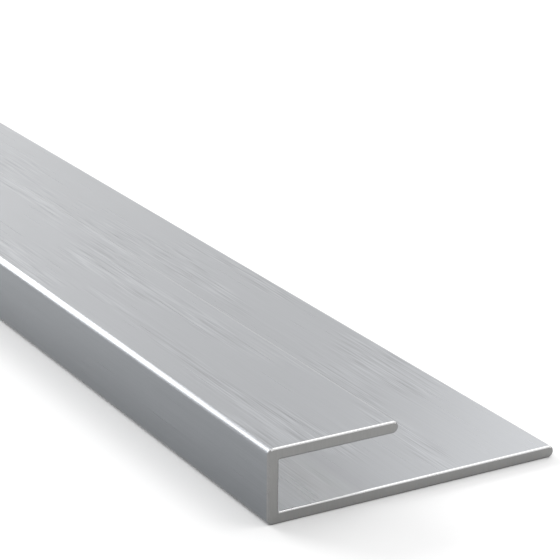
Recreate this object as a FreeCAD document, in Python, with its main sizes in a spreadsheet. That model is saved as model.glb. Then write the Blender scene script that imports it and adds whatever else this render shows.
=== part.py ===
"""Unequal-leg U-channel edge trim, one extruded aluminium length, as a parametric FreeCAD document.

The long leg lies flat and is fixed to the wall. The web stands up from one of its edges, and the
short leg runs back over it, so that the edge of a panel slides into the slot between the legs.

Frame, in millimetres: X along the length, Y across from the web to the tips of the legs, and Z up
from the outer face of the long leg. The origin is the middle of that face.
"""
import FreeCAD
import Part
import math
import os
import Sketcher

DRIVING_SIZES = {
    "length": 1000.0,  # one retail length of the stock
    "long_leg": 40.0,  # from the outer face of the web to the tip of the long leg
    "short_leg": 17.4,  # from the outer face of the web to the tip of the short leg
    "wall": 1.5,  # the same in both legs and the web
    "panel_gap": 6.4,  # between the legs: a 6 mm panel and its clearance
    "outer_radius": 0.8,  # on the two outer corners of the web
    "inner_radius": 0.15,  # in the two corners of the slot
    "end_break": 0.2,  # the deburred edge round each sawn end
}

PARTS_FOLDER = "parts"
START, END, CENTRE = 1, 2, 3  # Sketcher's numbers for the points of a line or an arc
SKETCH_X_AXIS, ORIGIN = -1, -1
FLAT = 1e-6  # a face thinner than this along X is square to X


def make_size_sheet(doc):
    """Puts each driving dimension in a cell of its own, with its name as the alias."""
    sheet = doc.addObject("Spreadsheet::Sheet", "sizes")
    for row, (name, value) in enumerate(DRIVING_SIZES.items(), start=1):
        sheet.set(f"A{row}", name)
        sheet.set(f"B{row}", str(value))
        sheet.setAlias(f"B{row}", name)
    doc.recompute()
    return sheet


def origin_plane(body, role):
    """The body's own origin plane with that role, such as YZ_Plane."""
    return next(f for f in body.Origin.OriginFeatures if f.Role == role)


def line(y0, z0, y1, z1):
    """A straight stretch of the section."""
    return Part.LineSegment(FreeCAD.Vector(y0, z0, 0), FreeCAD.Vector(y1, z1, 0))


def arc(y, z, radius, first_deg, last_deg):
    """A round stretch of the section, counterclockwise about (y, z)."""
    circle = Part.Circle(FreeCAD.Vector(y, z, 0), FreeCAD.Vector(0, 0, 1), radius)
    return Part.ArcOfCircle(circle, math.radians(first_deg), math.radians(last_deg))


def draw_outline(sketch, sheet):
    """Draws the section once round, counterclockwise from the long leg's outer face.

    The stretches start near their final places, and the constraints then hold them there.
    """
    wall = sheet.wall
    outer, inner = sheet.outer_radius, sheet.inner_radius
    web = -sheet.long_leg / 2
    top = sheet.panel_gap + 2 * wall
    tip = wall / 2
    long_tip = web + sheet.long_leg - tip
    short_tip = web + sheet.short_leg - tip
    slot = web + wall + inner
    stretches = {
        "back": line(web + outer, 0, long_tip, 0),
        "long_tip": arc(long_tip, tip, tip, -90, 90),
        "seat": line(long_tip, wall, slot, wall),
        "lower_slot_corner": arc(slot, wall + inner, inner, 180, 270),
        "slot_floor": line(web + wall, wall + inner, web + wall, top - wall - inner),
        "upper_slot_corner": arc(slot, top - wall - inner, inner, 90, 180),
        "lip": line(slot, top - wall, short_tip, top - wall),
        "short_tip": arc(short_tip, top - tip, tip, -90, 90),
        "front": line(short_tip, top, web + outer, top),
        "upper_corner": arc(web + outer, top - outer, outer, 90, 180),
        "web_face": line(web, top - outer, web, outer),
        "lower_corner": arc(web + outer, outer, outer, 180, 270),
    }
    return {name: sketch.addGeometry(shape, False) for name, shape in stretches.items()}


def constrain_outline(sketch, sheet, at):
    """Ties the stretches to each other and their sizes to the sheet.

    A size starts at the value that the outline was drawn with, and its expression keeps it there.
    """

    def add(*terms):
        return sketch.addConstraint(Sketcher.Constraint(*terms))

    def size(expression, drawn, *terms):
        number = add(*terms, drawn)
        sketch.setExpression(f"Constraints[{number}]", expression)

    for name in ("back", "seat", "lip", "front"):
        add("Horizontal", at[name])
    for name in ("slot_floor", "web_face"):
        add("Vertical", at[name])

    # Each pair meets end to end and runs on smoothly. An arc's start is its clockwise end.
    joints = (
        ("back", END, "long_tip", START),
        ("long_tip", END, "seat", START),
        ("seat", END, "lower_slot_corner", END),
        ("lower_slot_corner", START, "slot_floor", START),
        ("slot_floor", END, "upper_slot_corner", END),
        ("upper_slot_corner", START, "lip", START),
        ("lip", END, "short_tip", START),
        ("short_tip", END, "front", START),
        ("front", END, "upper_corner", START),
        ("upper_corner", END, "web_face", START),
        ("web_face", END, "lower_corner", START),
        ("lower_corner", END, "back", START),
    )
    for first, first_point, second, second_point in joints:
        add("Tangent", at[first], first_point, at[second], second_point)

    # The long leg's outer face lies on the X axis of the sketch, centred on the origin.
    add("PointOnObject", at["back"], START, SKETCH_X_AXIS)
    size("sizes.long_leg / 2", sheet.long_leg / 2, "DistanceX", at["web_face"], END, ORIGIN, START)

    # The walls of the long leg, the web and the short leg, and the slot between the legs.
    size("sizes.wall", sheet.wall, "DistanceY", at["back"], END, at["seat"], START)
    size("sizes.wall", sheet.wall, "DistanceX", at["web_face"], END, at["slot_floor"], START)
    size("sizes.wall", sheet.wall, "DistanceY", at["lip"], END, at["front"], START)
    size("sizes.panel_gap", sheet.panel_gap, "DistanceY", at["seat"], END, at["lip"], START)

    # Each tip is a half circle, so a leg ends half a wall past the centre of its tip.
    for tip, leg in (("long_tip", "long_leg"), ("short_tip", "short_leg")):
        reach = sheet.get(leg) - sheet.wall / 2
        expression = f"sizes.{leg} - sizes.wall / 2"
        size(expression, reach, "DistanceX", at["web_face"], END, at[tip], CENTRE)

    for name in ("upper_corner", "lower_corner"):
        size("sizes.outer_radius", sheet.outer_radius, "Radius", at[name])
    for name in ("lower_slot_corner", "upper_slot_corner"):
        size("sizes.inner_radius", sheet.inner_radius, "Radius", at[name])


def end_face_names(shape):
    """The names of the two faces square to the length, which are the sawn ends."""
    names = [
        f"Face{number}"
        for number, face in enumerate(shape.Faces, start=1)
        if face.BoundBox.XLength < FLAT
    ]
    if len(names) != 2:
        raise RuntimeError(f"expected two end faces, found {names}")
    return names


def make_channel_trim(doc, sheet):
    """The extruded length: its section padded both ways from the middle, with deburred ends."""
    body = doc.addObject("PartDesign::Body", "channel_trim")
    body.Label = "channel_trim"

    section = body.newObject("Sketcher::SketchObject", "section")
    section.AttachmentSupport = [(origin_plane(body, "YZ_Plane"), "")]
    section.MapMode = "FlatFace"
    constrain_outline(section, sheet, draw_outline(section, sheet))
    doc.recompute()

    extrusion = body.newObject("PartDesign::Pad", "extrusion")
    extrusion.Profile = section
    extrusion.SideType = "Symmetric"
    extrusion.setExpression("Length", "sizes.length")
    doc.recompute()

    deburr = body.newObject("PartDesign::Chamfer", "deburr")
    deburr.Base = (extrusion, end_face_names(extrusion.Shape))
    deburr.setExpression("Size", "sizes.end_break")
    body.Tip = deburr
    doc.recompute()
    return body


def check(doc, bodies):
    """Stops if an object failed, or if a sub-part is not one closed, valid solid."""
    for item in doc.Objects:
        if {"Invalid", "Error"} & set(item.State):
            raise RuntimeError(f"{item.Label} failed: {item.State}")
    for body in bodies:
        shape = body.Shape
        if shape.isNull() or not shape.isValid() or len(shape.Solids) != 1:
            raise RuntimeError(f"{body.Label} is not one valid solid")


def main():
    """Builds the document, checks it and writes one STEP file for each sub-part."""
    doc = FreeCAD.newDocument("channel_trim_model")
    sheet = make_size_sheet(doc)
    bodies = [make_channel_trim(doc, sheet)]
    doc.recompute()
    check(doc, bodies)
    os.makedirs(PARTS_FOLDER, exist_ok=True)
    for body in bodies:
        body.Shape.exportStep(os.path.join(PARTS_FOLDER, f"{body.Label}.step"))
        box = body.Shape.BoundBox
        print(
            f"{body.Label}: {box.XLength:.2f} x {box.YLength:.2f} x {box.ZLength:.2f} mm,"
            f" {body.Shape.Volume:.1f} mm3"
        )


main()
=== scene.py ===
"""Looks of one length of unequal-leg U-channel trim, drawn and brushed aluminium with sawn ends.

The frame gives the part's box. X runs along the length, Y across from the web to the tips of the
legs, and Z up from the outer face of the long leg, which lies on the floor.
"""
import enum
import logging
import math
from dataclasses import dataclass, field

import bpy
import numpy as np
from mathutils import Matrix, Vector


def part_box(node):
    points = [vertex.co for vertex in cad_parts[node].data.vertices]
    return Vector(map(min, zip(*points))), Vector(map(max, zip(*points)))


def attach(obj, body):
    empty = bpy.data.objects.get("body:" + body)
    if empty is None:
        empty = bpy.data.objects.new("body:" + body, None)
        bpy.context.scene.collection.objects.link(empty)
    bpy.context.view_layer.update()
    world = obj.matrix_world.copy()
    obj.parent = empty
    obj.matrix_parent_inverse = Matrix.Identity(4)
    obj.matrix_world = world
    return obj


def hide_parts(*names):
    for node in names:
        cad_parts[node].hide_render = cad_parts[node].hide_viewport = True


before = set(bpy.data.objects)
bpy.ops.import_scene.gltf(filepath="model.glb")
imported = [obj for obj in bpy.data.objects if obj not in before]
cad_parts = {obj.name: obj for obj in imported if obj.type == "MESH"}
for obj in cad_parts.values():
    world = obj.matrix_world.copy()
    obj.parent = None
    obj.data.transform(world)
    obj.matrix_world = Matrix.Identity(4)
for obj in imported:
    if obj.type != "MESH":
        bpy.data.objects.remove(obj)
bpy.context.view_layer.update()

NODE = "channel_trim"
BODY = "root"
UV_MAP = "UVMap"
# Share that paints light inside the slot as a much brighter colour.
PAINTED_SLOT_LIGHT = "painted_slot_light"
# Share of the normal's Z: it keeps the scratches on the brushed legs, and it paints shade on the web as a
# darker colour.
BRUSHED_AND_LIT = "brushed"
NOISE_LOW, NOISE_HIGH = 0.25, 0.75
MM = 0.001

log = logging.getLogger("channel_trim")

Colour = tuple[float, float, float]


class Finish(enum.Enum):
    """The finishes of the trim, in the order of its material slots.

    DRAWN is the skin of the section, SAWN the two ends, DEBURRED the broken edge round each end,
    and FILED the part of that edge that faces up, whose lighter colour is a painted highlight.
    """

    DRAWN = 0
    SAWN = 1
    DEBURRED = 2
    FILED = 3


# ---------------------------------------------------------------- the length of trim


@dataclass(frozen=True)
class Outline:
    """A closed outline in the section's plane, once round, with the metal on its right.

    Attributes:
        points: One row of (Y, Z) for each point, in metres.
        normals: The unit vector out of the metal at each point.
    """

    points: np.ndarray
    normals: np.ndarray


@dataclass
class TrimLength:
    """One sawn length of the trim, as a section carried along X.

    Attributes:
        low: The lowest corner of the part's box, in metres.
        high: The highest corner of that box.
        short_leg: From the outer face of the web to the tip of the short leg.
        wall: The thickness of both legs and of the web.
        outer_radius: On the two outer corners of the web.
        inner_radius: In the two corners of the slot.
        end_break: The radius of the deburred edge round each sawn end.
        corner_steps: Segments in each quarter turn of the section.
        break_steps: Segments across the deburred edge.
        leg_steps: Segments across each flat of the section.
        stations: Segments along the length.
        glint_lean: The least Z of its normal at which a deburred edge takes the painted highlight.
        mouth_share: Where the slot's painted light starts, as a share of the short leg.
        down_lean: The Z of its normal below which a face in the slot is the short leg's underside.
    """

    low: Vector
    high: Vector
    short_leg: float = 17.4 * MM
    wall: float = 1.5 * MM
    outer_radius: float = 0.8 * MM
    inner_radius: float = 0.15 * MM
    end_break: float = 0.2 * MM
    corner_steps: int = 12
    break_steps: int = 5
    leg_steps: int = 20
    stations: int = 60
    glint_lean: float = 0.8
    mouth_share: float = 0.8
    down_lean: float = -0.5

    def arc(self, centre: tuple[float, float], radius: float, first: float, last: float) -> Outline:
        """A round stretch: centre + radius times (cos, sin) of an angle that runs evenly.

        Args:
            centre: The arc's centre, (Y, Z).
            radius: Its radius.
            first: The angle it starts at, in degrees from +Y towards +Z.
            last: The angle it ends at. A stretch that turns clockwise is convex.

        Returns:
            The stretch, whose last point is left to the next one.
        """
        angle = np.radians(np.linspace(first, last, self.corner_steps + 1)[:-1])
        ray = np.stack((np.cos(angle), np.sin(angle)), axis=1)
        side = 1.0 if last < first else -1.0
        return Outline(np.array(centre) + radius * ray, side * ray)

    def flat(self, start: tuple[float, float], end: tuple[float, float]) -> Outline:
        """A straight stretch: even steps from start to end, its normal a quarter turn to the left.

        Args:
            start: Its first point, (Y, Z).
            end: The point where the next stretch starts.

        Returns:
            The stretch, without its end point.
        """
        share = np.linspace(0.0, 1.0, self.leg_steps + 1)[:-1, None]
        first, last = np.array(start), np.array(end)
        heading = (last - first) / np.linalg.norm(last - first)
        normal = np.array((-heading[1], heading[0]))
        return Outline(first + share * (last - first), np.repeat(normal[None], self.leg_steps, 0))

    def section(self) -> Outline:
        """The section once round, clockwise from the middle of the long leg's tip.

        It goes under the long leg, up the web and over the short leg to the middle of that leg's
        tip, and comes back through the slot with as many points, so that each point on the way
        out has one across the metal from it.

        Returns:
            The closed outline.
        """
        web, tip_y = self.low.y, self.high.y
        base, top = self.low.z, self.high.z
        outer, inner, half = self.outer_radius, self.inner_radius, self.wall / 2
        long_y, short_y = tip_y - half, web + self.short_leg - half
        slot = web + self.wall
        seat, lip = base + self.wall, top - self.wall
        stretches = (
            self.arc((long_y, base + half), half, 0, -90),
            self.flat((long_y, base), (web + outer, base)),
            self.arc((web + outer, base + outer), outer, -90, -180),
            self.flat((web, base + outer), (web, top - outer)),
            self.arc((web + outer, top - outer), outer, 180, 90),
            self.flat((web + outer, top), (short_y, top)),
            self.arc((short_y, top - half), half, 90, 0),
            self.arc((short_y, top - half), half, 0, -90),
            self.flat((short_y, lip), (slot + inner, lip)),
            self.arc((slot + inner, lip - inner), inner, 90, 180),
            self.flat((slot, lip - inner), (slot, seat + inner)),
            self.arc((slot + inner, seat + inner), inner, 180, 270),
            self.flat((slot + inner, seat), (long_y, seat)),
            self.arc((long_y, seat - half), half, 90, 0),
        )
        return Outline(
            np.concatenate([s.points for s in stretches]),
            np.concatenate([s.normals for s in stretches]),
        )

    def run(self) -> tuple[np.ndarray, np.ndarray, np.ndarray]:
        """Where the sections stand along X, how far each is drawn in, and how its normals lean.

        Over each end's deburred edge the section moves along a quarter circle: with angle a from
        0 to 90 degrees, it stands end_break times (1 - sin a) inside the end, is drawn in by
        end_break times (1 - cos a), and its normals lean towards the end by a.

        Returns:
            The places in metres, the insets in metres, and the leans in radians, signed as X.
        """
        angle = np.linspace(0.0, math.pi / 2, self.break_steps + 1)
        back = self.end_break * (1 - np.sin(angle))
        inset = self.end_break * (1 - np.cos(angle))
        middle = np.linspace(self.low.x + self.end_break, self.high.x - self.end_break, self.stations + 1)
        place = np.concatenate(((self.low.x + back)[:0:-1], middle, (self.high.x - back)[1:]))
        drawn_in = np.concatenate((inset[:0:-1], np.zeros(self.stations + 1), inset[1:]))
        lean = np.concatenate((-angle[:0:-1], np.zeros(self.stations + 1), angle[1:]))
        return place, drawn_in, lean

    def build(self) -> bpy.types.Object:
        """Carries the section along X, and closes both ends with strips across the metal.

        Returns:
            The finished object, with its place in its mesh.
        """
        outline = self.section()
        place, inset, lean = self.run()
        rows, count = len(place), len(outline.points)
        ring = outline.points[None] - inset[:, None, None] * outline.normals[None]
        points = np.concatenate((np.broadcast_to(place[:, None, None], (rows, count, 1)), ring), axis=2)
        across = np.cos(lean)[:, None, None] * outline.normals[None]
        along = np.broadcast_to(np.sin(lean)[:, None, None], (rows, count, 1))
        normals = np.concatenate((along, across), axis=2)

        row = np.arange(rows - 1)[:, None] * count
        here = np.arange(count)[None]
        ahead = (np.arange(count)[None] + 1) % count
        skin = np.stack((row + here, row + count + here, row + count + ahead, row + ahead), axis=2)
        skin_row = np.repeat(np.arange(rows - 1), count)
        strip = self.end_strip(count)
        last = (rows - 1) * count
        caps = [strip, [tuple(last + v for v in reversed(f)) for f in strip]]
        faces = [tuple(f) for f in skin.reshape(-1, 4).tolist()] + caps[0] + caps[1]

        mesh = bpy.data.meshes.new(NODE)
        mesh.from_pydata(points.reshape(-1, 3), [], faces)
        rim = (skin_row < self.break_steps) | (skin_row >= rows - 1 - self.break_steps)
        # Up-facing faces of the deburred edge get the lighter finish, a painted highlight.
        upward = np.tile(outline.normals[:, 1] > self.glint_lean, rows - 1)
        edge = np.where(upward, Finish.FILED.value, Finish.DEBURRED.value)
        finish = np.full(len(faces), Finish.SAWN.value, np.int32)
        finish[: len(skin_row)] = np.where(rim, edge, Finish.DRAWN.value)
        mesh.polygons.foreach_set("material_index", finish)
        mesh.polygons.foreach_set("use_smooth", np.ones(len(faces), bool))
        self.unroll(mesh, outline, place)
        # The second share is 1 on the legs and 0 on the web. It masks the scratches, and its darker web
        # colour is painted shade.
        for name, share in ((PAINTED_SLOT_LIGHT, self.painted_slot_light(outline)), (BRUSHED_AND_LIT, np.abs(outline.normals[:, 1]))):
            layer = mesh.attributes.new(name, "FLOAT", "POINT")
            layer.data.foreach_set("value", np.tile(share, rows).astype(np.float32))
        mesh.validate()
        mesh.normals_split_custom_set_from_vertices(normals.reshape(-1, 3).tolist())
        trim = bpy.data.objects.new("trim_length", mesh)
        bpy.context.scene.collection.objects.link(trim)
        return trim

    def end_strip(self, count: int) -> list[tuple[int, ...]]:
        """Faces that close the far end: each spans the metal between two facing pairs of points.

        Args:
            count: The number of points in the section.

        Returns:
            The faces, as indices into one section.
        """
        half = count // 2
        step = np.arange(1, half - 1)
        strip = np.stack((step, count - step, count - step - 1, step + 1), axis=1)
        tips = [(0, count - 1, 1), (half - 1, half + 1, half)]
        return [tuple(f[::-1]) for f in strip.tolist()] + [t[::-1] for t in tips]

    def painted_slot_light(self, outline: Outline) -> np.ndarray:
        """How far each point lies in the slot, as a share that paints light on the metal there.

        The depth runs from 0 at the mouth, which is mouth_share of the short leg from the web's
        outer face, to 1 at the web's inner face. It is eased by 3 d^2 - 2 d^3, and counts only
        between the inner faces of the legs. The short leg's underside counts in full. A tenth of
        the inner radius is allowed for rounding where a place is compared.

        Args:
            outline: The section.

        Returns:
            A number from 0 to 1 for each point.
        """
        y, z = outline.points.T
        mouth = self.mouth_share * self.short_leg
        depth = np.clip((self.low.y + mouth - y) / (mouth - self.wall), 0.0, 1.0)
        slack = self.inner_radius / 10
        inside = (z > self.low.z + self.wall - slack) & (z < self.high.z - self.wall + slack)
        inside &= y > self.low.y + self.wall - slack
        tip = self.low.y + self.short_leg - self.wall / 2
        under = inside & (outline.normals[:, 1] < self.down_lean) & (y < tip + slack)
        return np.where(under, 1.0, np.where(inside, depth * depth * (3 - 2 * depth), 0.0))

    def unroll(self, mesh: bpy.types.Mesh, outline: Outline, place: np.ndarray) -> None:
        """Adds the UV map: metres round the section, and metres along the length.

        Args:
            mesh: The mesh, whose points are the sections one after another.
            outline: The section.
            place: Where the sections stand along X.
        """
        step = np.linalg.norm(np.roll(outline.points, -1, axis=0) - outline.points, axis=1)
        around = np.concatenate(((0.0,), np.cumsum(step)[:-1]))
        u = np.tile(around, len(place))
        v = np.repeat(place, len(around))
        corner = np.zeros(len(mesh.loops), np.int64)
        mesh.loops.foreach_get("vertex_index", corner)
        layer = mesh.uv_layers.new(name=UV_MAP)
        layer.data.foreach_set("uv", np.stack((u[corner], v[corner]), axis=1).astype(np.float32).ravel())

    def dress(self, trim: bpy.types.Object, finishes: dict[Finish, bpy.types.Material]) -> None:
        """Puts the finishes on, and has the piece stand for the frame's node.

        Args:
            trim: The object that build made.
            finishes: The material of each finish.
        """
        for finish in Finish:
            trim.data.materials.append(finishes[finish])
        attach(trim, BODY)
        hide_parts(NODE)


# ---------------------------------------------------------------- node tools


class Tree:
    """Adds nodes to a node tree and joins them, with plain values or sockets as inputs."""

    def __init__(self, tree: bpy.types.NodeTree) -> None:
        """Keeps the tree.

        Args:
            tree: The node tree to fill.
        """
        self.tree = tree

    def add(self, kind: str, inputs: dict | None = None, **settings: object) -> bpy.types.Node:
        """Adds one node.

        Args:
            kind: The node's type name.
            inputs: A value or a socket for each input, by its name or number.
            settings: The node's own properties.

        Returns:
            The new node.
        """
        node = self.tree.nodes.new(kind)
        for name, value in settings.items():
            setattr(node, name, value)
        for name, value in (inputs or {}).items():
            if isinstance(value, bpy.types.NodeSocket):
                self.tree.links.new(value, node.inputs[name])
            else:
                node.inputs[name].default_value = value
        return node

    def sum(self, first: object, second: object, operation: str = "ADD") -> bpy.types.NodeSocket:
        """Adds one arithmetic operation.

        Args:
            first: Its first value or socket.
            second: Its second value or socket.
            operation: What it does with them.

        Returns:
            The result.
        """
        return self.add("ShaderNodeMath", {0: first, 1: second}, operation=operation).outputs[0]

    def about(self, mask: object, middle: float, swing: object) -> bpy.types.NodeSocket:
        """Lets a mask move a number both ways about its middle.

        Args:
            mask: The mask, from 0 to 1.
            middle: The number where the mask is one half.
            swing: How much the number changes from one end of the mask to the other.

        Returns:
            The middle plus the swing times (mask - 0.5).
        """
        return self.sum(self.sum(self.sum(mask, 0.5, "SUBTRACT"), swing, "MULTIPLY"), middle)

    def feed(self, shader: bpy.types.Node, **sockets: bpy.types.NodeSocket) -> None:
        """Links sockets to a shader's inputs.

        Args:
            shader: The shader.
            sockets: A socket for each input, by its name with _ for each space.
        """
        for name, socket in sockets.items():
            self.tree.links.new(socket, shader.inputs[name.replace("_", " ")])

    def bump(self, height: object, strength: float, distance: float) -> bpy.types.NodeSocket:
        """Adds a bump.

        Args:
            height: How high the surface stands, from 0 to 1.
            strength: How much of the bump shows, from 0 to 1.
            distance: How high it stands where the height is 1, in metres.

        Returns:
            The normal of the raised surface.
        """
        inputs = {"Height": height, "Strength": strength, "Distance": distance}
        return self.add("ShaderNodeBump", inputs).outputs[0]

    def mix(self, share: object, first: object, second: object) -> bpy.types.NodeSocket:
        """Blends two colours.

        Args:
            share: How much of the second there is, from 0 to 1.
            first: The first colour.
            second: The second colour.

        Returns:
            The blend.
        """
        inputs = {0: share, 6: first, 7: second}
        return self.add("ShaderNodeMix", inputs, data_type="RGBA").outputs[2]

    def span(self, value: object, low: float, high: float) -> bpy.types.NodeSocket:
        """Carries a value to 0..1, clamped and eased at both ends.

        Args:
            value: The value.
            low: The value that becomes 0. It may be above high.
            high: The value that becomes 1.

        Returns:
            The carried value.
        """
        inputs = {"Value": value, "From Min": low, "From Max": high}
        return self.add("ShaderNodeMapRange", inputs, interpolation_type="SMOOTHSTEP").outputs[0]


def new_group(name: str, inputs: dict[str, str], outputs: dict[str, str]) -> tuple[Tree, dict, dict]:
    """Makes an empty shader node group.

    Args:
        name: The group's name.
        inputs: Each input's name and socket type.
        outputs: Each output's name and socket type.

    Returns:
        The tree, the sockets that bring its inputs, and the sockets that take its outputs.
    """
    group = bpy.data.node_groups.new(name, "ShaderNodeTree")
    for socket, kind in inputs.items():
        group.interface.new_socket(socket, in_out="INPUT", socket_type=kind)
    for socket, kind in outputs.items():
        group.interface.new_socket(socket, in_out="OUTPUT", socket_type=kind)
    tree = Tree(group)
    return tree, tree.add("NodeGroupInput").outputs, tree.add("NodeGroupOutput").inputs


def line_field() -> bpy.types.NodeTree:
    """The group that makes lines: a noise whose cells are stretched into long thin streaks.

    Pitch says how many cells there are in a metre along each axis, so that the lines run along
    the axis with the smallest number. Mask is the noise spread over the whole of 0 to 1.

    Returns:
        The node group.
    """
    tree, given, made = new_group(
        "line_field",
        {"Pitch": "NodeSocketVector", "Detail": "NodeSocketFloat"},
        {"Mask": "NodeSocketFloat"},
    )
    place = tree.add("ShaderNodeTexCoord").outputs["Object"]
    cells = tree.add("ShaderNodeVectorMath", {0: place, 1: given["Pitch"]}, operation="MULTIPLY")
    noise = tree.add(
        "ShaderNodeTexNoise",
        {"Vector": cells.outputs[0], "Scale": 1.0, "Detail": given["Detail"], "Roughness": 0.55},
    )
    mask = tree.add(
        "ShaderNodeMapRange",
        {"Value": noise.outputs[0], "From Min": NOISE_LOW, "From Max": NOISE_HIGH},
    )
    tree.tree.links.new(mask.outputs[0], made["Mask"])
    return tree.tree


def tone_shift() -> bpy.types.NodeTree:
    """The group that lets a mask darken and lighten a colour evenly about its middle.

    Colour out is colour in times 1 + Amount times (Mask - 0.5).

    Returns:
        The node group.
    """
    tree, given, made = new_group(
        "tone_shift",
        {"Colour": "NodeSocketColor", "Mask": "NodeSocketFloat", "Amount": "NodeSocketFloat"},
        {"Colour": "NodeSocketColor"},
    )
    factor = tree.about(given["Mask"], 1.0, given["Amount"])
    scaled = tree.add("ShaderNodeVectorMath", {0: given["Colour"], "Scale": factor}, operation="SCALE")
    tree.tree.links.new(scaled.outputs[0], made["Colour"])
    return tree.tree


# ---------------------------------------------------------------- finishes


@dataclass(frozen=True)
class Groups:
    """The node groups that the finishes share.

    Attributes:
        lines: The group that line_field makes.
        tone: The group that tone_shift makes.
    """

    lines: bpy.types.NodeTree = field(default_factory=line_field)
    tone: bpy.types.NodeTree = field(default_factory=tone_shift)

    def streaks(self, tree: Tree, pitch: Colour, detail: float) -> bpy.types.NodeSocket:
        """Places the line group.

        Args:
            tree: The tree that takes it.
            pitch: Cells per metre along each axis.
            detail: How many finer layers the noise has.

        Returns:
            The mask of the lines.
        """
        inputs = {"Pitch": pitch, "Detail": detail}
        return tree.add("ShaderNodeGroup", inputs, node_tree=self.lines).outputs["Mask"]

    def shade(self, tree: Tree, colour: object, mask: object, amount: float) -> bpy.types.NodeSocket:
        """Places the tone group.

        Args:
            tree: The tree that takes it.
            colour: The colour, as a socket or as a plain colour.
            mask: The mask that darkens and lightens it.
            amount: How far it does, as a share of the colour.

        Returns:
            The changed colour.
        """
        given = colour if isinstance(colour, bpy.types.NodeSocket) else (*colour, 1.0)
        inputs = {"Amount": amount, "Colour": given, "Mask": mask}
        return tree.add("ShaderNodeGroup", inputs, node_tree=self.tone).outputs["Colour"]


def metal(name: str, metallic: float) -> tuple[bpy.types.Material, Tree, bpy.types.Node]:
    """A material with one Principled shader.

    Args:
        name: The material's name.
        metallic: The shader's plain Metallic value.

    Returns:
        The material, its tree and the shader.
    """
    material = bpy.data.materials.new(name)
    material.use_nodes = True
    material.node_tree.nodes.clear()
    tree = Tree(material.node_tree)
    shader = tree.add("ShaderNodeBsdfPrincipled", {"Metallic": metallic})
    output = tree.add("ShaderNodeOutputMaterial", {"Surface": shader.outputs[0]})
    output.is_active_output = True
    return material, tree, shader


@dataclass(frozen=True)
class DrawnAluminium:
    """The drawn and brushed faces: fine lines along the length, with a few scratches.

    Attributes:
        colour: The metal's colour on the brushed legs.
        shaded_web_colour: Its colour on the web, darker than on the legs as painted shade.
        painted_slot_colour: Its colour deep in the slot, much brighter than outside as painted light.
        metallic: The shader's Metallic.
        roughness: Its middle roughness.
        anisotropy: How far a reflection is drawn out across the lines.
        grain: Cells per metre of the finest lines.
        lines: Cells per metre of the scratches.
        patches: Cells per metre of the areas that hold scratches.
        clouds: Cells per metre of the broad changes of tone.
        grain_tone: How far the finest lines change the colour.
        cloud_tone: How far the broad changes do.
        scratch_tone: How far the scratches do.
        scratch_span: The masks at which a light scratch starts and is full. A dark one has them
            as far below one half.
        patch_span: The masks at which a patch starts to hold scratches and is full of them.
        roughness_swing: How far the finest lines change the roughness.
        bump_strength: How much of the bump shows.
        bump_height: How high the lines stand.
    """

    colour: Colour = (0.228, 0.234, 0.244)
    shaded_web_colour: Colour = (0.201, 0.212, 0.225)
    painted_slot_colour: Colour = (0.95, 0.955, 0.96)
    metallic: float = 1.0
    roughness: float = 0.3
    anisotropy: float = 0.7
    grain: Colour = (45.0, 6500.0, 6500.0)
    lines: Colour = (110.0, 3800.0, 4000.0)
    patches: Colour = (31.0, 150.0, 190.0)
    clouds: Colour = (7.0, 60.0, 60.0)
    grain_tone: float = 0.12
    cloud_tone: float = 0.05
    scratch_tone: float = 0.18
    scratch_span: tuple[float, float] = (0.52, 0.85)
    patch_span: tuple[float, float] = (0.42, 0.72)
    roughness_swing: float = 0.06
    bump_strength: float = 0.08
    bump_height: float = 0.01 * MM

    def build(self, groups: Groups) -> bpy.types.Material:
        """Builds the material.

        Args:
            groups: The shared node groups.

        Returns:
            The material.
        """
        material, tree, shader = metal("drawn_aluminium", self.metallic)
        grain = groups.streaks(tree, self.grain, 2.0)
        lines = groups.streaks(tree, self.lines, 1.0)
        patches = groups.streaks(tree, self.patches, 1.0)
        clouds = groups.streaks(tree, self.clouds, 2.0)
        start, full = self.scratch_span
        swing = tree.sum(tree.span(lines, start, full), tree.span(lines, 1 - start, 1 - full), "SUBTRACT")
        held = tree.sum(swing, tree.span(patches, *self.patch_span), "MULTIPLY")
        brushed = tree.add("ShaderNodeAttribute", attribute_name=BRUSHED_AND_LIT).outputs["Fac"]
        scratches = tree.sum(0.5, tree.sum(held, brushed, "MULTIPLY"))
        painted_slot_share = tree.add("ShaderNodeAttribute", attribute_name=PAINTED_SLOT_LIGHT).outputs["Fac"]
        # Painted shade: the web takes a darker colour than the legs.
        outside = tree.mix(brushed, (*self.shaded_web_colour, 1.0), (*self.colour, 1.0))
        # Painted light: deep in the slot and on the short leg's underside, the metal takes a much
        # brighter colour.
        bare = tree.mix(painted_slot_share, outside, (*self.painted_slot_colour, 1.0))
        colour = groups.shade(tree, bare, clouds, self.cloud_tone)
        colour = groups.shade(tree, colour, grain, self.grain_tone)
        colour = groups.shade(tree, colour, scratches, self.scratch_tone)
        tree.feed(
            shader,
            Base_Color=colour,
            Roughness=tree.about(grain, self.roughness, self.roughness_swing),
            Normal=tree.bump(tree.sum(grain, scratches), self.bump_strength, self.bump_height),
            Tangent=tree.add("ShaderNodeTangent", direction_type="UV_MAP", uv_map=UV_MAP).outputs[0],
        )
        shader.inputs["Anisotropic"].default_value = self.anisotropy
        return material


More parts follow.
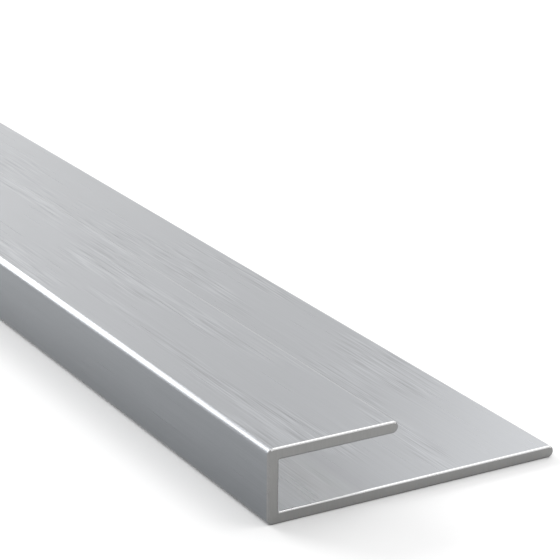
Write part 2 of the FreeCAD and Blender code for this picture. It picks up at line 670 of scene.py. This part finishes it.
@dataclass(frozen=True)
class SawnAluminium:
    """The sawn ends: matt, with close saw marks that lean a little.

    Attributes:
        colour: The metal's colour.
        metallic: The shader's Metallic.
        roughness: Its middle roughness.
        marks: Cells per metre of the saw marks.
        grit: Cells per metre of the torn grain between them.
        mark_tone: How far the saw marks change the colour.
        grit_tone: How far the torn grain does.
        roughness_swing: How far the torn grain changes the roughness.
        bump_strength: How much of the bump shows.
        bump_height: How high the saw marks stand.
    """

    colour: Colour = (0.275, 0.275, 0.271)
    metallic: float = 1.0
    roughness: float = 0.5
    marks: Colour = (1.0, 5200.0, 500.0)
    grit: Colour = (1.0, 6000.0, 5000.0)
    mark_tone: float = 0.06
    grit_tone: float = 0.06
    roughness_swing: float = 0.1
    bump_strength: float = 0.2
    bump_height: float = 0.02 * MM

    def build(self, groups: Groups) -> bpy.types.Material:
        """Builds the material.

        Args:
            groups: The shared node groups.

        Returns:
            The material.
        """
        material, tree, shader = metal("sawn_aluminium", self.metallic)
        marks = groups.streaks(tree, self.marks, 1.0)
        grit = groups.streaks(tree, self.grit, 2.0)
        colour = groups.shade(tree, self.colour, marks, self.mark_tone)
        tree.feed(
            shader,
            Base_Color=groups.shade(tree, colour, grit, self.grit_tone),
            Roughness=tree.about(grit, self.roughness, self.roughness_swing),
            Normal=tree.bump(marks, self.bump_strength, self.bump_height),
        )
        return material


@dataclass(frozen=True)
class DeburredAluminium:
    """The broken edge round each end, with short marks across it.

    Attributes:
        name: The material's name.
        colour: The metal's colour.
        metallic: The shader's Metallic.
        roughness: Its middle roughness.
        marks: Cells per metre of the file's marks.
        mark_tone: How far those marks change the colour.
        roughness_swing: How far they change the roughness.
    """

    name: str = "deburred_aluminium"
    colour: Colour = (0.24, 0.24, 0.24)
    metallic: float = 1.0
    roughness: float = 0.3
    marks: Colour = (400.0, 2500.0, 2500.0)
    mark_tone: float = 0.1
    roughness_swing: float = 0.08

    def build(self, groups: Groups) -> bpy.types.Material:
        """Builds the material.

        Args:
            groups: The shared node groups.

        Returns:
            The material.
        """
        material, tree, shader = metal(self.name, self.metallic)
        marks = groups.streaks(tree, self.marks, 1.0)
        tree.feed(
            shader,
            Base_Color=groups.shade(tree, self.colour, marks, self.mark_tone),
            Roughness=tree.about(marks, self.roughness, self.roughness_swing),
        )
        return material


@dataclass(frozen=True)
class GlintEdgeAluminium(DeburredAluminium):
    """The part of the broken edge that faces up, given a lighter colour as a painted highlight."""

    name: str = "glint_edge_aluminium"
    # Lighter than the rest of the edge: painted highlight.
    colour: Colour = (0.6, 0.6, 0.6)


# ---------------------------------------------------------------- studio


def bearing(azimuth: float, elevation: float) -> Vector:
    """The unit vector towards a bearing.

    Args:
        azimuth: Degrees round from -Y towards +X.
        elevation: Degrees above the horizon.

    Returns:
        The vector.
    """
    a, e = math.radians(azimuth), math.radians(elevation)
    return Vector((math.sin(a) * math.cos(e), -math.cos(a) * math.cos(e), math.sin(e)))


@dataclass(frozen=True)
class SoftBox:
    """A rectangular lamp that faces the middle of the part.

    Attributes:
        name: The lamp's name.
        azimuth: Its bearing, in degrees round from -Y towards +X.
        elevation: Degrees above the horizon.
        width: Its width in degrees, as seen from the part.
        height: Its height in degrees.
        radiance: How bright it looks, where 1 is white.
        distance: How far it stands, in metres.
    """

    name: str
    azimuth: float
    elevation: float
    width: float
    height: float
    radiance: float
    distance: float = 3.0

    def place(self, aim: Vector) -> None:
        """Puts the lamp in the scene.

        Args:
            aim: The point it faces.
        """
        away = bearing(self.azimuth, self.elevation)
        light = bpy.data.lights.new(self.name, "AREA")
        light.shape = "RECTANGLE"
        light.size = 2 * self.distance * math.tan(math.radians(self.width / 2))
        light.size_y = 2 * self.distance * math.tan(math.radians(self.height / 2))
        light.energy = math.pi * self.radiance * light.size * light.size_y
        lamp = bpy.data.objects.new(self.name, light)
        lamp.location = aim + self.distance * away
        lamp.rotation_mode = "QUATERNION"
        lamp.rotation_quaternion = away.to_track_quat("Z", "Y")
        lamp.visible_camera = False
        bpy.context.scene.collection.objects.link(lamp)


@dataclass
class Studio:
    """The floor, the lamps and the surroundings.

    Attributes:
        floor_colour: The floor's colour.
        floor_size: The side of the square floor, in metres.
        backdrop: How white the surroundings look to the camera and in the metal.
        ambient: How strongly they light matt surfaces.
        lamps: The soft boxes.
    """

    floor_colour: Colour = (0.96, 0.96, 0.96)
    floor_size: float = 60.0
    backdrop: float = 0.97
    ambient: float = 0.62
    lamps: tuple[SoftBox, ...] = (
        SoftBox("key_softbox", 236.0, 27.0, 70.0, 46.0, 0.52),
        SoftBox("near_softbox", 208.0, 38.0, 38.0, 44.0, 1.4),
        SoftBox("front_softbox", 42.0, 50.0, 80.0, 44.0, 0.45),
        SoftBox("corner_softbox", 284.0, 20.0, 44.0, 40.0, 6.0),
        SoftBox("overhead_softbox", 145.0, 56.0, 26.0, 22.0, 2.5),
    )

    def lay_floor(self, level: float) -> None:
        """Lays the floor, a plain square.

        Args:
            level: Its height, which is the part's lowest.
        """
        half = self.floor_size / 2
        corner = np.array(((-half, -half), (half, -half), (half, half), (-half, half)))
        mesh = bpy.data.meshes.new("floor")
        mesh.from_pydata(np.column_stack((corner, np.full(4, level))), [], [(0, 1, 2, 3)])
        material = bpy.data.materials.new("pale_floor")
        material.use_nodes = True
        material.node_tree.nodes.clear()
        tree = Tree(material.node_tree)
        matt = tree.add("ShaderNodeBsdfDiffuse", {"Color": (*self.floor_colour, 1.0)})
        tree.add("ShaderNodeOutputMaterial", {"Surface": matt.outputs[0]})
        mesh.materials.append(material)
        floor = bpy.data.objects.new("floor", mesh)
        bpy.context.scene.collection.objects.link(floor)

    def surround(self) -> None:
        """Makes the world: white to the camera and in reflections, and a plain level elsewhere."""
        world = bpy.data.worlds.new("surroundings")
        world.use_nodes = True
        world.node_tree.nodes.clear()
        tree = Tree(world.node_tree)
        path = tree.add("ShaderNodeLightPath").outputs
        seen = tree.sum(path["Is Camera Ray"], path["Is Glossy Ray"], "MAXIMUM")
        seen = tree.sum(seen, path["Is Transmission Ray"], "MAXIMUM")
        white = (1.0, 1.0, 1.0, 1.0)
        shown = tree.add("ShaderNodeBackground", {"Color": white, "Strength": self.backdrop})
        lit = tree.add("ShaderNodeBackground", {"Color": white, "Strength": self.ambient})
        mix = tree.add("ShaderNodeMixShader", {0: seen, 1: lit.outputs[0], 2: shown.outputs[0]})
        tree.add("ShaderNodeOutputWorld", {"Surface": mix.outputs[0]})
        bpy.context.scene.world = world

    def build(self, low: Vector, high: Vector) -> None:
        """Sets up the floor, the world and the lamps round the part.

        Args:
            low: The lowest corner of the part's box.
            high: Its highest corner.
        """
        self.lay_floor(low.z)
        self.surround()
        for lamp in self.lamps:
            lamp.place((low + high) / 2)


@dataclass(frozen=True)
class Viewpoint:
    """The camera, close to the near end and looking back along the length.

    Attributes:
        stand_off: From the foot of the web at the near end to the lens, in metres.
        azimuth: The bearing of the lens from what it looks at, in degrees from -Y towards +X.
        elevation: Degrees above the horizon.
        roll: Degrees of turn about the line of sight.
        lens: The focal length in millimetres.
        sensor: The sensor's width in millimetres.
    """

    stand_off: tuple[float, float, float] = (199.38 * MM, -115.52 * MM, 111.22 * MM)
    azimuth: float = 59.618
    elevation: float = 19.521
    roll: float = -0.554
    lens: float = 145.0
    sensor: float = 36.0

    def place(self, low: Vector, high: Vector) -> None:
        """Makes the camera and hands it to the scene.

        Args:
            low: The lowest corner of the part's box.
            high: Its highest corner.
        """
        back = bearing(self.azimuth, self.elevation)
        level = Vector((0, 0, 1)).cross(back).normalized()
        upright = back.cross(level)
        turn = math.radians(self.roll)
        right = math.cos(turn) * level - math.sin(turn) * upright
        up = math.sin(turn) * level + math.cos(turn) * upright
        data = bpy.data.cameras.new("camera")
        data.lens = self.lens
        data.sensor_width = self.sensor
        data.clip_start = 0.01
        data.clip_end = 100.0
        camera = bpy.data.objects.new("camera", data)
        camera.rotation_mode = "QUATERNION"
        camera.rotation_quaternion = Matrix((right, up, back)).transposed().to_quaternion()
        camera.location = Vector((high.x, low.y, low.z)) + Vector(self.stand_off)
        bpy.context.scene.collection.objects.link(camera)
        bpy.context.scene.camera = camera


# ---------------------------------------------------------------- the whole


def report(piece: bpy.types.Object) -> None:
    """Logs a finished piece's name, number of triangles and size.

    Args:
        piece: The piece.
    """
    piece.data.calc_loop_triangles()
    size = ", ".join(f"{1000 * x:.2f}" for x in piece.dimensions)
    log.info("%s: %d triangles, %s mm", piece.name, len(piece.data.loop_triangles), size)


def main() -> None:
    """Builds the trim, its finishes, the studio and the camera."""
    logging.basicConfig(level=logging.INFO, format="%(name)s %(message)s")
    bpy.context.scene.view_settings.view_transform = "Standard"
    low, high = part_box(NODE)
    groups = Groups()
    finishes = {
        Finish.DRAWN: DrawnAluminium().build(groups),
        Finish.SAWN: SawnAluminium().build(groups),
        Finish.DEBURRED: DeburredAluminium().build(groups),
        Finish.FILED: GlintEdgeAluminium().build(groups),
    }
    trim = TrimLength(low, high)
    piece = trim.build()
    trim.dress(piece, finishes)
    Studio().build(low, high)
    Viewpoint().place(low, high)
    bpy.context.view_layer.update()
    report(piece)


if __name__ == "__main__":
    main()
